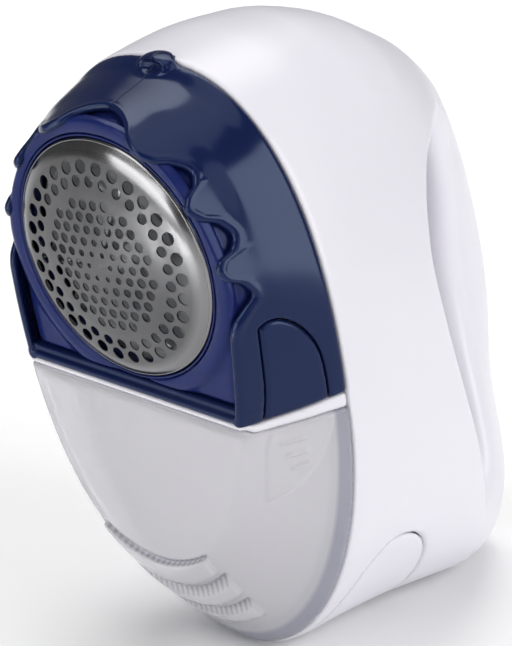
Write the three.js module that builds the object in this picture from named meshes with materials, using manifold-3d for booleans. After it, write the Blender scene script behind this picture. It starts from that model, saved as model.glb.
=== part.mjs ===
// Battery fabric shaver with a tilted round head, a clear lint container and a finger-loop handle.
// Units are millimetres. Most pieces are drawn in the head frame (origin at the foil's centre,
// x right, y back from the foil, z up) and then tilted and lifted onto the base plane.
import * as THREE from 'three';
import Module from 'manifold-3d';
import { mergeVertices } from 'three/addons/utils/BufferGeometryUtils.js';

// ---- driving dimensions ----
const TILT = THREE.MathUtils.degToRad(10);   // head leans forward at the top
const FOIL_Y = -57.8;                        // foil centre in the finished part
const FOIL_Z = 101;
const GAP = 0.3;                             // clearance between neighbouring pieces
const WALL = 2.2;                            // white housing
const SKIN = 1.9;                            // guard and container walls
const PARTING_Y = 21.3;                      // back of guard and container, front of housing
const GUARD_BOTTOM = -31.9;
const SHELF = [-34.2, -32.2];
const CONTAINER_TOP = -34.5;
const BAR_SPLIT_Y = 93;                      // housing / rear cover of the handle
const FOIL_R = 27.5;
const FOIL_T = 0.4;
const RING_R = 29.8;
const CHAMBER_R = 26;
const MOTOR_R = 12.2;
const MOTOR_Y = [27, 50];
const SHAFT_R = 1;
const BATTERY_R = 13.1;
const BATTERY_L = 50;
const BATTERY_X = 14;
const BATTERY_Y = 39.5;
const BATTERY_Z = -88;
const DUCT = { x: 10, y0: 8, y1: 19, wall: 1.4 };

// Egg-shaped cross-sections of the body at depth y: half width, top, bottom, height of the widest
// point, and curve exponents above and below it.
const STATIONS = [
  { y: -1.5, w: 33.4, top: 32.8, bottom: -75.5, mid: -6, nTop: 1.96, nBottom: 2.15 },
  { y: 5, w: 36, top: 33.6, bottom: -86, mid: -14, nTop: 2.2, nBottom: 2.05 },
  { y: 10, w: 37.9, top: 34.2, bottom: -92.5, mid: -21, nTop: 2.4, nBottom: 2.02 },
  { y: 16, w: 40.2, top: 35.3, bottom: -99.8, mid: -30, nTop: 2.48, nBottom: 2 },
  { y: 21.3, w: 42.2, top: 37.4, bottom: -107.2, mid: -38, nTop: 2.43, nBottom: 1.97 },
  { y: 36, w: 43, top: 37.8, bottom: -110.2, mid: -38, nTop: 2.35, nBottom: 1.9 },
  { y: 52, w: 42.5, top: 36, bottom: -112.6, mid: -40, nTop: 2.2, nBottom: 1.95 },
  { y: 66, w: 40.2, top: 31, bottom: -115, mid: -44, nTop: 2.15, nBottom: 2.15 },
  { y: 80, w: 35, top: 22, bottom: -117.3, mid: -50.5, nTop: 2.1, nBottom: 2.5 },
  { y: 92, w: 25.5, top: 12.2, bottom: -118.6, mid: -56, nTop: 2, nBottom: 2.7 },
  { y: 101, w: 17, top: -1.5, bottom: -117, mid: -64, nTop: 2, nBottom: 2.8 },
  { y: 106.3, w: 10, top: -40, bottom: -107, mid: -75, nTop: 2, nBottom: 2.6 },
];

// Share of its width that the handle loses behind the crease, in two soft waists: [y, share].
const WAIST = [[57, 0.3], [80, 0.42], [92, 0.36], [101, 0.1], [106.3, 0.05]];
const WAIST_Z = -40;
const WAIST_SPAN = 32;
const LOW_WAIST = [[80, 0], [92, 0.04], [101, 0.12], [106.3, 0.12]];
const LOW_WAIST_Z = -74;
const LOW_WAIST_SPAN = 20;

// Crease where the full-width sides end and the narrow handle begins: [y, z].
const CREASE = [
  [200, 12], [80, 12], [73.4, 5], [63.7, 2.3], [59.6, -1.4], [57.6, -6.3], [56.9, -15.3], [57.1, -26],
  [58.6, -37.3], [61.4, -50.3], [66.2, -66.1], [75.7, -93.6], [84, -116], [84, -140],
];

// Guard's front edge: [angle from the top in degrees, depth]; the same on both sides.
const GUARD_EDGE = [
  [0, 4.6], [24.9, -2.5], [43.4, 4], [55, -1.7], [71.2, 4.9], [81.5, -1.1], [94, 4.9], [110, -1.3],
  [180, -1.3],
];

// Finger hole seen from the side: [y, z] in the head frame.
const HOLE = [
  [69, 8], [63.7, 2.3], [59.6, -1.4], [57.6, -6.3], [56.9, -15.3], [57.1, -26], [58.6, -37.3],
  [61.4, -50.3], [66.2, -66.1], [71, -80], [77, -84], [80.5, -78], [83, -64], [84.5, -48], [85, -32], [84.5, -18], [82.5, -5],
  [78, 5], [73.5, 9.5],
];

// Side button of the guard and grip pad of the container, seen from the side: [y, z].
const BUTTON = [
  [4.4, -31.6], [4.3, -9.8], [6.8, -9.1], [9.4, -9.6], [12.8, -12.3], [15.6, -17], [16.8, -22.6],
  [17, -31.6],
];
const PAD = [[4.8, -35.6], [4.5, -51.6], [5.3, -53], [9.8, -51], [13, -46.3], [16, -39.8], [16.3, -35.6]];

// ---- helpers ----
const wasm = await Module();
wasm.setup();

function toSolid(geometry) {
  const g = geometry.clone();
  g.deleteAttribute('normal');
  g.deleteAttribute('uv');
  const merged = mergeVertices(g, 1e-4);
  return new wasm.Manifold(new wasm.Mesh({
    numProp: 3,
    vertProperties: new Float32Array(merged.attributes.position.array),
    triVerts: new Uint32Array(merged.index.array),
  }));
}

function toGeometry(solid) {
  const mesh = solid.getMesh();
  const g = new THREE.BufferGeometry();
  const position = new Float32Array(mesh.numVert * 3);
  for (let i = 0; i < mesh.numVert; i++) {
    for (let k = 0; k < 3; k++) position[3 * i + k] = mesh.vertProperties[mesh.numProp * i + k];
  }
  g.setAttribute('position', new THREE.BufferAttribute(position, 3));
  g.setIndex(new THREE.BufferAttribute(new Uint32Array(mesh.triVerts), 1));
  g.computeVertexNormals();
  return g;
}

// Smooth interpolation between stations that never overshoots them.
function stationValue(key, y) {
  const n = STATIONS.length;
  const slopes = [];
  for (let i = 0; i < n - 1; i++) {
    slopes.push((STATIONS[i + 1][key] - STATIONS[i][key]) / (STATIONS[i + 1].y - STATIONS[i].y));
  }
  const tangent = (i) => {
    if (i === 0) return slopes[0];
    if (i === n - 1) return slopes[n - 2];
    const a = slopes[i - 1];
    const b = slopes[i];
    return a * b <= 0 ? 0 : (2 * a * b) / (a + b);
  };
  let i = 0;
  while (i < n - 2 && y > STATIONS[i + 1].y) i++;
  const h = STATIONS[i + 1].y - STATIONS[i].y;
  const t = Math.min(1, Math.max(0, (y - STATIONS[i].y) / h));
  const a = 2 * t ** 3 - 3 * t ** 2 + 1;
  const b = t ** 3 - 2 * t ** 2 + t;
  const c = -2 * t ** 3 + 3 * t ** 2;
  const d = t ** 3 - t ** 2;
  return a * STATIONS[i][key] + b * h * tangent(i) + c * STATIONS[i + 1][key] + d * h * tangent(i + 1);
}

const lerpTable = (table, x) => {
  let i = 0;
  while (i < table.length - 2 && x > table[i + 1][0]) i++;
  const [[x0, v0], [x1, v1]] = [table[i], table[i + 1]];
  return v0 + (v1 - v0) * Math.min(1, Math.max(0, (x - x0) / (x1 - x0)));
};

// One closed cross-section of the body, drawn in by inset; the core has the handle's waist.
function section(y, inset, count, core) {
  const v = (key) => stationValue(key, y);
  const [w, top, bottom] = [v('w') - inset, v('top') - inset, v('bottom') + inset];
  const [mid, nTop, nBottom] = [v('mid'), v('nTop'), v('nBottom')];
  const waist = core ? lerpTable(WAIST, y) : 0;
  const lowWaist = core ? lerpTable(LOW_WAIST, y) : 0;
  const points = [];
  for (let i = 0; i < count; i++) {
    const a = (i / count) * 2 * Math.PI;
    const up = Math.sin(a) >= 0;
    const power = 2 / (up ? nTop : nBottom);
    const height = up ? top - mid : mid - bottom;
    const z = mid + height * Math.sign(Math.sin(a)) * Math.abs(Math.sin(a)) ** power;
    const grip = 1 - waist * Math.exp(-(((z - WAIST_Z) / WAIST_SPAN) ** 2))
      - lowWaist * Math.exp(-(((z - LOW_WAIST_Z) / LOW_WAIST_SPAN) ** 2));
    points.push([w * grip * Math.sign(Math.cos(a)) * Math.abs(Math.cos(a)) ** power, z]);
  }
  return points;
}

// Closed surface through rings of [x, y, z] points, each ring with the same count.
function skinRings(rings) {
  const count = rings[0].length;
  const position = [];
  const index = [];
  for (const ring of rings) for (const p of ring) position.push(...p);
  for (let r = 0; r < rings.length - 1; r++) {
    for (let i = 0; i < count; i++) {
      const j = (i + 1) % count;
      const [a, b, c, d] = [r * count + i, r * count + j, (r + 1) * count + j, (r + 1) * count + i];
      index.push(a, b, c, a, c, d);
    }
  }
  const caps = [[0, -1], [rings.length - 1, 1]];
  for (const [r, side] of caps) {
    const centre = rings[r].reduce((s, p) => s.map((v, k) => v + p[k] / count), [0, 0, 0]);
    const apex = position.length / 3;
    position.push(...centre);
    for (let i = 0; i < count; i++) {
      const j = (i + 1) % count;
      if (side < 0) index.push(apex, r * count + j, r * count + i);
      else index.push(apex, r * count + i, r * count + j);
    }
  }
  const g = new THREE.BufferGeometry();
  g.setAttribute('position', new THREE.BufferAttribute(new Float32Array(position), 3));
  g.setIndex(index);
  const solid = toSolid(g);
  if (solid.volume() > 0) return solid;
  const flipped = [];
  for (let i = 0; i < index.length; i += 3) flipped.push(index[i], index[i + 2], index[i + 1]);
  g.setIndex(flipped);
  return toSolid(g);
}

function loft(depths, inset = 0, count = 36, core = false) {
  return skinRings(depths.map((y) => section(y, inset, count, core).map(([x, z]) => [x, y, z])));
}

function box(x0, x1, y0, y1, z0, z1) {
  const g = new THREE.BoxGeometry(x1 - x0, y1 - y0, z1 - z0);
  g.translate((x0 + x1) / 2, (y0 + y1) / 2, (z0 + z1) / 2);
  return toSolid(g);
}

// Round bar along y.
function barY(x, z, r, y0, y1, segments = 32) {
  const g = new THREE.CylinderGeometry(r, r, y1 - y0, segments);
  g.translate(x, (y0 + y1) / 2, z);
  return toSolid(g);
}

// Round bar along z.
function barZ(x, y, r, z0, z1, segments = 28) {
  const g = new THREE.CylinderGeometry(r, r, z1 - z0, segments);
  g.rotateX(Math.PI / 2);
  g.translate(x, y, (z0 + z1) / 2);
  return toSolid(g);
}

// Solid of revolution about the head axis from [radius, y] points.
function turned(profile, segments = 48) {
  const g = new THREE.LatheGeometry(profile.map(([r, y]) => new THREE.Vector2(r, y)), segments);
  const solid = toSolid(g);
  if (solid.volume() > 0) return solid;
  g.setIndex(Array.from(g.index.array).reverse());
  return toSolid(g);
}

// Side-view outline [y, z] drawn out along x.
function prismX(outline, x0, x1) {
  const shape = new THREE.Shape(outline.map(([y, z]) => new THREE.Vector2(y, z)));
  const g = new THREE.ExtrudeGeometry(shape, { depth: x1 - x0, bevelEnabled: false });
  g.applyMatrix4(new THREE.Matrix4().set(0, 0, 1, x0, 1, 0, 0, 0, 0, 1, 0, 0, 0, 0, 0, 1));
  return toSolid(g);
}

// Outline grown outwards by d.
function grow(outline, d) {
  const n = outline.length;
  const area = outline.reduce((s, [a, b], i) => {
    const [c, e] = outline[(i + 1) % n];
    return s + a * e - c * b;
  }, 0);
  return outline.map((p, i) => {
    const q = outline[(i + n - 1) % n];
    const r = outline[(i + 1) % n];
    const e1 = new THREE.Vector2(p[0] - q[0], p[1] - q[1]).normalize();
    const e2 = new THREE.Vector2(r[0] - p[0], r[1] - p[1]).normalize();
    const n1 = new THREE.Vector2(e1.y, -e1.x);
    const n2 = new THREE.Vector2(e2.y, -e2.x);
    const m = n1.clone().add(n2).normalize();
    const k = (Math.sign(area) * d) / Math.max(0.5, m.dot(n1));
    return [p[0] + m.x * k, p[1] + m.y * k];
  });
}

const range = (from, to, steps) => Array.from({ length: steps + 1 }, (_, i) => from + ((to - from) * i) / steps);

// Head frame to finished part, and back.
const HEAD = new THREE.Matrix4().makeTranslation(0, FOIL_Y, FOIL_Z)
  .multiply(new THREE.Matrix4().makeRotationX(TILT));
const HEAD_INVERSE = HEAD.clone().invert();
const matrixList = (m) => Array.from(m.elements);
const fromUpright = (solid) => solid.transform(matrixList(HEAD_INVERSE));

const root = new THREE.Group();
root.name = 'fabric_shaver';

const MATERIALS = {
  white: { color: 0xe9e6ef, roughness: 0.35, metalness: 0 },
  grey_plastic: { color: 0x8b8e96, roughness: 0.5, metalness: 0 },
  navy: { color: 0x1c2850, roughness: 0.2, metalness: 0 },
  royal: { color: 0x141f78, roughness: 0.25, metalness: 0 },
  clear: { color: 0xc9ccd4, roughness: 0.15, metalness: 0 },
  foil: { color: 0xc4c6ca, roughness: 0.25, metalness: 1 },
  steel: { color: 0x9ea1a6, roughness: 0.35, metalness: 1 },
  brass: { color: 0xb9954a, roughness: 0.35, metalness: 1 },
  can: { color: 0x8d9095, roughness: 0.4, metalness: 1 },
  cell: { color: 0x2f3236, roughness: 0.4, metalness: 0.3 },
  red_wire: { color: 0xa3191d, roughness: 0.5, metalness: 0 },
  black_wire: { color: 0x1b1b1d, roughness: 0.5, metalness: 0 },
};

function add(name, solid, material) {
  const g = toGeometry(solid);
  g.applyMatrix4(HEAD);
  const mesh = new THREE.Mesh(g, new THREE.MeshStandardMaterial(MATERIALS[material]));
  mesh.name = name;
  root.add(mesh);
}

// ---- shared volumes ----
const LIMIT = 200;
const belowBase = (lift) => fromUpright(box(-LIMIT, LIMIT, -LIMIT, LIMIT, -LIMIT, lift));
const above = (z) => box(-LIMIT, LIMIT, -LIMIT, LIMIT, z, LIMIT);
const below = (z) => box(-LIMIT, LIMIT, -LIMIT, LIMIT, -LIMIT, z);
const aheadOfCrease = (back) => {
  const edge = CREASE.map(([y, z]) => [y - back, z]);
  return prismX([[-50, -160], [-50, 60], [200, 60], ...edge], -LIMIT, LIMIT);
};
const bodyOuter = loft([PARTING_Y, 28, 36, 44, 52, 59, 66, 73, 80, 86]).intersect(aheadOfCrease(0))
  .add(loft([54, 60, 66, 73, 80, 86, BAR_SPLIT_Y, 97, 101, 104, 106.3], 0.05, 36, true))
  .subtract(belowBase(0));
const bodyInner = loft([20, PARTING_Y, 30, 42, 54, 66, 76, 86], WALL, 28).intersect(aheadOfCrease(WALL))
  .add(loft([48, 58, 66, 76, 86, 94, 101.5, 104], WALL, 28, true))
  .subtract(belowBase(WALL));
const holeWall = prismX(grow(HOLE, 2), -LIMIT, LIMIT);
const hole = prismX(HOLE, -LIMIT, LIMIT);
const frontOuter = loft([-1.5, 1.5, 5, 10, 16, 20.9]);
const ductSpace = box(-DUCT.x - GAP, DUCT.x + GAP, DUCT.y0 - GAP, DUCT.y1 + GAP, -45, -22);

// ---- white body ----
const bodyShell = bodyOuter.subtract(hole).subtract(bodyInner.subtract(holeWall));

// Battery door: arch in the base, seen from the side in the finished part.
const doorArch = (d) => {
  const arch = [];
  for (const a of range(0, 180, 12)) {
    const t = THREE.MathUtils.degToRad(a);
    const half = a < 90 ? 19.3 - d : 11.5 - d;
    arch.push([-5 + half * Math.cos(t), 1 + (29.2 - d) * Math.sin(t) ** 0.8]);
  }
  return fromUpright(prismX([[14.3 - d, -6], ...arch, [-16.5 + d, -6]], -LIMIT, LIMIT));
};

const screwPlaces = [-45, -99];
const front = box(-LIMIT, LIMIT, -LIMIT, BAR_SPLIT_Y, -LIMIT, LIMIT);
const rear = box(-LIMIT, LIMIT, BAR_SPLIT_Y + GAP, LIMIT, -LIMIT, LIMIT);

let housing = bodyShell.intersect(front).subtract(doorArch(0));
for (const z of screwPlaces) {
  const footZ = z < -80 ? -118 : z;
  const boss = barY(0, z, 3.4, z < -80 ? 80 : 86, BAR_SPLIT_Y, 16).add(box(-1, 1, 80, 91, footZ, z))
    .subtract(hole)
    .intersect(bodyOuter);
  housing = housing.add(boss).subtract(barY(0, z, 1.65, 85, LIMIT, 12));
}
add('main_housing', housing, 'white');

// Slide switch frame on the back of the handle.
const SWITCH_Z = -14;
const backAt = (z) => {
  let [a, b] = [80, 106];
  for (let i = 0; i < 40; i++) {
    const m = (a + b) / 2;
    if (stationValue('top', m) > z) a = m;
    else b = m;
  }
  return (a + b) / 2;
};
const switchLean = Math.atan2(backAt(SWITCH_Z - 5) - backAt(SWITCH_Z + 5), 10);
const SWITCH = new THREE.Matrix4().makeTranslation(0, backAt(SWITCH_Z), SWITCH_Z)
  .multiply(new THREE.Matrix4().makeRotationX(switchLean));
const atSwitch = (solid) => solid.transform(matrixList(SWITCH));
const TRAVEL = 6;

let rearCover = bodyShell.intersect(rear);
for (const z of screwPlaces) {
  rearCover = rearCover.add(barY(0, z, 4.4, BAR_SPLIT_Y + GAP, 104.5, 20).intersect(bodyOuter))
    .subtract(barY(0, z, 1.8, 80, 99, 12))
    .subtract(barY(0, z, 3.1, 97, LIMIT, 16));
}
rearCover = rearCover.subtract(atSwitch(box(-3.3, 3.3, -8, 6, -3, TRAVEL + 3)));
add('handle_rear_cover', rearCover, 'white');

screwPlaces.forEach((z, i) => {
  const screw = barY(0, z, 2.7, 97.2, 99.2, 16).add(barY(0, z, 1.5, 87, 97.3, 12));
  add(`cover_screw_${i + 1}`, screw, 'steel');
});

// Front bulkhead with the shelf that parts the head from the container.
const bulkhead = loft([21.6, 23.8], WALL + 2 * GAP, 28)
  .subtract(belowBase(WALL + GAP))
  .add(frontOuter.intersect(box(-LIMIT, LIMIT, -1.4, 20.9, SHELF[0], SHELF[1])))
  .add(box(-34, 34, 20.5, 22, SHELF[0], SHELF[1]))
  .subtract(barY(0, 0, 5, 15, 30, 24))
  .subtract(ductSpace);
add('bulkhead_shelf', bulkhead, 'white');

// ---- battery bay ----
let door = bodyOuter.subtract(bodyInner).intersect(doorArch(GAP)).subtract(belowBase(0.5));
add('battery_door', door, 'white');

const wellTop = BATTERY_Z + BATTERY_L + 2;
let tray = box(-29.2, 29.2, BATTERY_Y - 14.6, BATTERY_Y + 14.2, -66, wellTop);
for (const x of [-BATTERY_X, BATTERY_X]) {
  tray = tray.subtract(barZ(x, BATTERY_Y, BATTERY_R + GAP, -90, wellTop - 1.6, 32))
    .subtract(barZ(x, BATTERY_Y, 3.4, -60, 0, 16));
}
add('battery_tray', tray.intersect(loft([21.6, 30, 42, 56], WALL + 2 * GAP, 32)), 'grey_plastic');

for (const [side, x, up] of [['left', -BATTERY_X, true], ['right', BATTERY_X, false]]) {
  const tip = up ? barZ(x, BATTERY_Y, 3, BATTERY_Z + BATTERY_L - 1.6, BATTERY_Z + BATTERY_L, 16)
    : barZ(x, BATTERY_Y, 3, BATTERY_Z, BATTERY_Z + 1.6, 16);
  const can = up ? barZ(x, BATTERY_Y, BATTERY_R, BATTERY_Z, BATTERY_Z + BATTERY_L - 1.6)
    : barZ(x, BATTERY_Y, BATTERY_R, BATTERY_Z + 1.6, BATTERY_Z + BATTERY_L);
  add(`battery_${side}`, can.add(tip), 'cell');
}
const topPlate = box(-20, 20, BATTERY_Y - 4, BATTERY_Y + 4, wellTop + GAP, wellTop + 0.9);
add('contact_plate_top', topPlate, 'brass');

// Coil spring from a closed round section swept along a helix with its axis on z.
function coil(x, y, z0, height, radius, wire, turns, steps = 12) {
  const points = range(0, turns, turns * steps).map((t) => {
    const a = t * 2 * Math.PI;
    return new THREE.Vector3(x + radius * Math.cos(a), y + radius * Math.sin(a), z0 + (height * t) / turns);
  });
  const shape = new THREE.Shape();
  shape.absarc(0, 0, wire, 0, 2 * Math.PI, false);
  const g = new THREE.ExtrudeGeometry(shape, {
    steps: turns * steps, curveSegments: 3, bevelEnabled: false, extrudePath: new THREE.CatmullRomCurve3(points),
  });
  return toSolid(g);
}
const springs = [['left', -BATTERY_X], ['right', BATTERY_X]];
for (const [side, x] of springs) {
  add(`contact_spring_${side}`, coil(x, BATTERY_Y, BATTERY_Z - 6, 5, 4.2, 0.45, 3), 'brass');
}
const contactPlate = box(-20, 20, BATTERY_Y - 5.5, BATTERY_Y + 5.5, BATTERY_Z - 7.9, BATTERY_Z - 7);
add('contact_plate_bottom', contactPlate, 'brass');

// ---- head frame ----
const headFrame = loft([0.8, 3, 6, 10, 16, 20.6], SKIN + 2 * GAP, 36)
  .subtract(loft([2.8, 6, 10, 16, 20.6, 21.2], SKIN + 2 * GAP + 2, 32))
  .subtract(below(GUARD_BOTTOM + 2.1))
  .subtract(barY(0, 0, RING_R + GAP, -10, 6, 48))
  .subtract(prismX(grow(BUTTON, 0.8), -LIMIT, LIMIT).subtract(box(-28, 28, -LIMIT, LIMIT, -LIMIT, LIMIT)))
  .subtract(ductSpace);
add('head_frame', headFrame, 'royal');

const chamberOuter = barY(0, 0, CHAMBER_R, 5.4, 20, 48)
  .add(box(-DUCT.x, DUCT.x, DUCT.y0, DUCT.y1, -35.5, -20))
  .add(barY(0, 0, 4.2, 19, 21.5, 20));
const chamberInner = barY(0, 0, CHAMBER_R - DUCT.wall, 0, 18.2, 48)
  .add(box(-DUCT.x + DUCT.wall, DUCT.x - DUCT.wall, DUCT.y0 + DUCT.wall, DUCT.y1 - DUCT.wall, -45, -20));
add('cutting_chamber', chamberOuter.subtract(chamberInner).subtract(barY(0, 0, 1.3, 0, 30, 16)), 'grey_plastic');

// ---- foil ----
const ring = turned([
  [27.9, 2.4], [27.9, -0.2], [28.3, -0.8], [29.3, -0.8], [RING_R, -0.1], [RING_R, 4.9], [26.5, 4.9],
  [26.5, 2.4], [27.9, 2.4],
]);
add('foil_ring', ring, 'royal');

const dome = turned([
  [0, -5], [14.4, -4], [21.9, -2.7], [25.6, -1.5], [27.1, -0.4], [FOIL_R, 0.9], [FOIL_R, 2],
  [FOIL_R - FOIL_T, 2], [FOIL_R - FOIL_T, 1], [26.7, -0.1], [25.4, -1.1], [21.8, -2.3],
  [14.3, -3.6], [0, -4.6],
]);
function punch(x, z, r, sides) {
  return barY(x, z, r, -8, 1, sides);
}
const punches = [];
for (let i = 0; i < 30; i++) {
  const outer = THREE.MathUtils.degToRad(2.2 + 12 * i);
  const inner = THREE.MathUtils.degToRad(8.1 + 12 * i);
  punches.push(punch(21.9 * Math.sin(outer), 21.9 * Math.cos(outer), 1.5, 6));
  punches.push(punch(18.9 * Math.sin(inner), 18.9 * Math.cos(inner), 1.25, 6));
}
const PITCH = 3.17;
const turn = THREE.MathUtils.degToRad(7.3);
for (let i = -6; i <= 6; i++) {
  for (let j = -6; j <= 6; j++) {
    const u = PITCH * (i + j / 2);
    const v = PITCH * j * Math.sqrt(0.75);
    const r = Math.hypot(u, v);
    if (r < 1 || r > 15) continue;
    const size = r < 4 ? 0.65 : r < 10 ? 1 : 1.15;
    punches.push(punch(u * Math.cos(turn) - v * Math.sin(turn), u * Math.sin(turn) + v * Math.cos(turn), size, 5));
  }
}
let foil = dome;
for (const p of punches) foil = foil.subtract(p);
add('foil_screen', foil, 'foil');

// ---- guard ----
function edgeDepth(angle) {
  const a = Math.abs(angle);
  let i = 0;
  while (i < GUARD_EDGE.length - 2 && a > GUARD_EDGE[i + 1][0]) i++;
  const [a0, y0] = GUARD_EDGE[i];
  const [a1, y1] = GUARD_EDGE[i + 1];
  const t = Math.min(1, (a - a0) / (a1 - a0));
  return y0 + ((y1 - y0) * (1 - Math.cos(Math.PI * t))) / 2;
}
// Everything in front of the scalloped edge, as a ring of wedges about the head axis.
const wedges = range(-180, 180, 90).slice(0, -1).map((angle) => {
  const t = THREE.MathUtils.degToRad(angle);
  const y = edgeDepth(angle);
  const at = (r, depth) => [r * Math.sin(t), depth, r * Math.cos(t)];
  return [at(20, -30), at(140, -30), at(140, y), at(20, y)];
});
function ringSolid(loops) {
  const n = loops.length;
  const m = loops[0].length;
  const position = loops.flat(2);
  const index = [];
  for (let i = 0; i < n; i++) {
    for (let k = 0; k < m; k++) {
      const j = (i + 1) % n;
      const l = (k + 1) % m;
      index.push(i * m + k, i * m + l, j * m + l, i * m + k, j * m + l, j * m + k);
    }
  }
  const g = new THREE.BufferGeometry();
  g.setAttribute('position', new THREE.BufferAttribute(new Float32Array(position), 3));
  g.setIndex(index);
  const solid = toSolid(g);
  if (solid.volume() > 0) return solid;
  g.setIndex(index.reverse());
  return toSolid(g);
}
const scallops = ringSolid(wedges);

const guardHole = prismX(grow(BUTTON, GAP), -LIMIT, LIMIT)
  .subtract(box(-24, 24, -LIMIT, LIMIT, -LIMIT, LIMIT));
const tab = box(-3, 3, 15, 20.9, 35.4, 37.6).subtract(box(-1.3, 1.3, 15, 19.4, 36.2, 40));
const guard = loft([-3.4, -1.5, 1.5, 5, 10, 16, 20.9], 0, 48)
  .subtract(loft([-4, 1.5, 6, 12, 21.5], SKIN, 36).subtract(below(GUARD_BOTTOM + 1.8)))
  .subtract(scallops)
  .subtract(barY(0, 0, RING_R + GAP, -10, 8, 48))
  .subtract(below(GUARD_BOTTOM))
  .subtract(box(-DUCT.x - GAP, DUCT.x + GAP, DUCT.y0 - GAP, LIMIT, -45, -22))
  .subtract(box(-29.5, 29.5, 2.5, LIMIT, -45, -25))
  .add(tab)
  .subtract(guardHole);
add('guard', guard, 'navy');

const buttonShape = prismX(BUTTON, -LIMIT, LIMIT);
const buttonSkin = loft([0, 4, 9, 14, 19], -0.5, 40).subtract(loft([-1, 4, 9, 14, 20.5], SKIN + 0.1, 36));
for (const [side, x0, x1] of [['left', -60, -24], ['right', 24, 60]]) {
  const half = box(x0, x1, -LIMIT, LIMIT, -LIMIT, LIMIT);
  add(`guard_button_${side}`, buttonSkin.intersect(buttonShape).intersect(half), 'navy');
}

// ---- lint container ----
const sides = box(-60, -24, -LIMIT, LIMIT, -LIMIT, LIMIT).add(box(24, 60, -LIMIT, LIMIT, -LIMIT, LIMIT));
const bump = (inset) => loft([-1.5, 4, 9, 14, 19], inset, 40);
const pads = bump(-0.5).intersect(prismX(PAD, -LIMIT, LIMIT)).intersect(sides);
let bars = null;
for (const [z, y0, y1] of [[-38, 6, 11], [-41.5, 7.2, 11.4], [-45, 8.4, 11.6]]) {
  const bar = bump(-1.1).intersect(box(-60, 60, y0, y1, z - 0.6, z + 0.6)).intersect(sides);
  bars = bars ? bars.add(bar) : bar;
}
const containerInner = loft([0.6, 5, 10, 16, 21.5], SKIN, 32).subtract(above(CONTAINER_TOP - 1.8));
const container = frontOuter.add(pads).add(bars)
  .subtract(above(CONTAINER_TOP))
  .subtract(belowBase(0.4))
  .subtract(containerInner.subtract(belowBase(0.4 + SKIN)))
  .subtract(box(-14, 14, 4.5, LIMIT, -38, -30));
add('lint_container', container, 'clear');

// ---- drive ----
const shaft = barY(0, 0, SHAFT_R, 7, 46, 16);
add('motor_shaft', shaft, 'steel');
const motorCan = barY(0, 0, MOTOR_R, MOTOR_Y[0], MOTOR_Y[1], 32)
  .intersect(box(-MOTOR_R, MOTOR_R, 0, 60, -10, 10))
  .add(barY(0, 0, 3, MOTOR_Y[0] - 1.5, MOTOR_Y[0] + 1, 20))
  .subtract(barY(0, 0, SHAFT_R + 0.15, 0, 48, 16));
add('motor', motorCan, 'can');
const mount = box(-20, 20, 24.1, 34, -12.6, 12.6)
  .subtract(barY(0, 0, MOTOR_R + GAP, 26.6, 40, 32).intersect(box(-30, 30, 0, 60, -10.3, 10.3)))
  .subtract(barY(0, 0, 3.4, 20, 30, 20))
  .subtract(barY(-17, 0, 1.7, 20, 40, 12))
  .subtract(barY(17, 0, 1.7, 20, 40, 12));
add('motor_mount', mount, 'white');
[-17, 17].forEach((x, i) => {
  const screw = barY(x, 0, 2.6, 34.2, 36, 16).add(barY(x, 0, 1.4, 24.4, 34.3, 12));
  add(`motor_screw_${i + 1}`, screw, 'steel');
});

const hub = barY(0, 0, 8, 4, 9, 32).subtract(barY(0, 0, SHAFT_R + 0.1, 6.8, 10, 16));
const BLADES = 3;
const bladeEdge = [[2.5, -3.9], [14.2, -3], [21, -1.9], [22.6, -1], [22.6, 2.6], [7, 5.6], [2.5, 3.2]];
let slots = null;
for (let i = 0; i < BLADES; i++) {
  const spin = new THREE.Matrix4().makeRotationY((2 * Math.PI * i) / BLADES + 0.35);
  const blade = prismX(bladeEdge.map(([r, y]) => [y, r]), -0.35, 0.35).transform(matrixList(spin));
  const slot = prismX(grow(bladeEdge.map(([r, y]) => [y, r]), 0.15), -0.5, 0.5).transform(matrixList(spin));
  slots = slots ? slots.add(slot) : slot;
  add(`blade_${i + 1}`, blade, 'steel');
}
add('blade_hub', hub.subtract(slots), 'grey_plastic');

let fan = barY(0, 0, 6, 11.6, 16.6, 28).add(barY(0, 0, 21, 15.4, 16.6, 40));
for (let i = 0; i < 6; i++) {
  const spin = new THREE.Matrix4().makeRotationY((Math.PI * i) / 3);
  fan = fan.add(box(-0.6, 0.6, 11.6, 16, 4, 21).transform(matrixList(spin)));
}
add('fan', fan.subtract(barY(0, 0, SHAFT_R + 0.1, 0, 30, 16)), 'grey_plastic');

const bladeSpring = coil(0, 0, 0, 1.7, 3.4, 0.3, 2)
  .transform(matrixList(new THREE.Matrix4().makeTranslation(0, 11.15, 0)
    .multiply(new THREE.Matrix4().makeRotationX(Math.PI / 2))));
add('blade_spring', bladeSpring, 'steel');

// ---- switch and wiring ----
let cap = box(-5, 5, 0.5, 2, -4.5, 4.5).add(box(-2.8, 2.8, -4.8, 0.8, -2.5, 2.5));
for (const z of [-3, -1, 1, 3]) cap = cap.add(box(-4.4, 4.4, 1.8, 2.6, z - 0.4, z + 0.4));
add('switch_slider', atSwitch(cap), 'navy');
add('switch_body', atSwitch(box(-6.5, 6.5, -12.5, -5.4, -7, 9)), 'grey_plastic');

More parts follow.
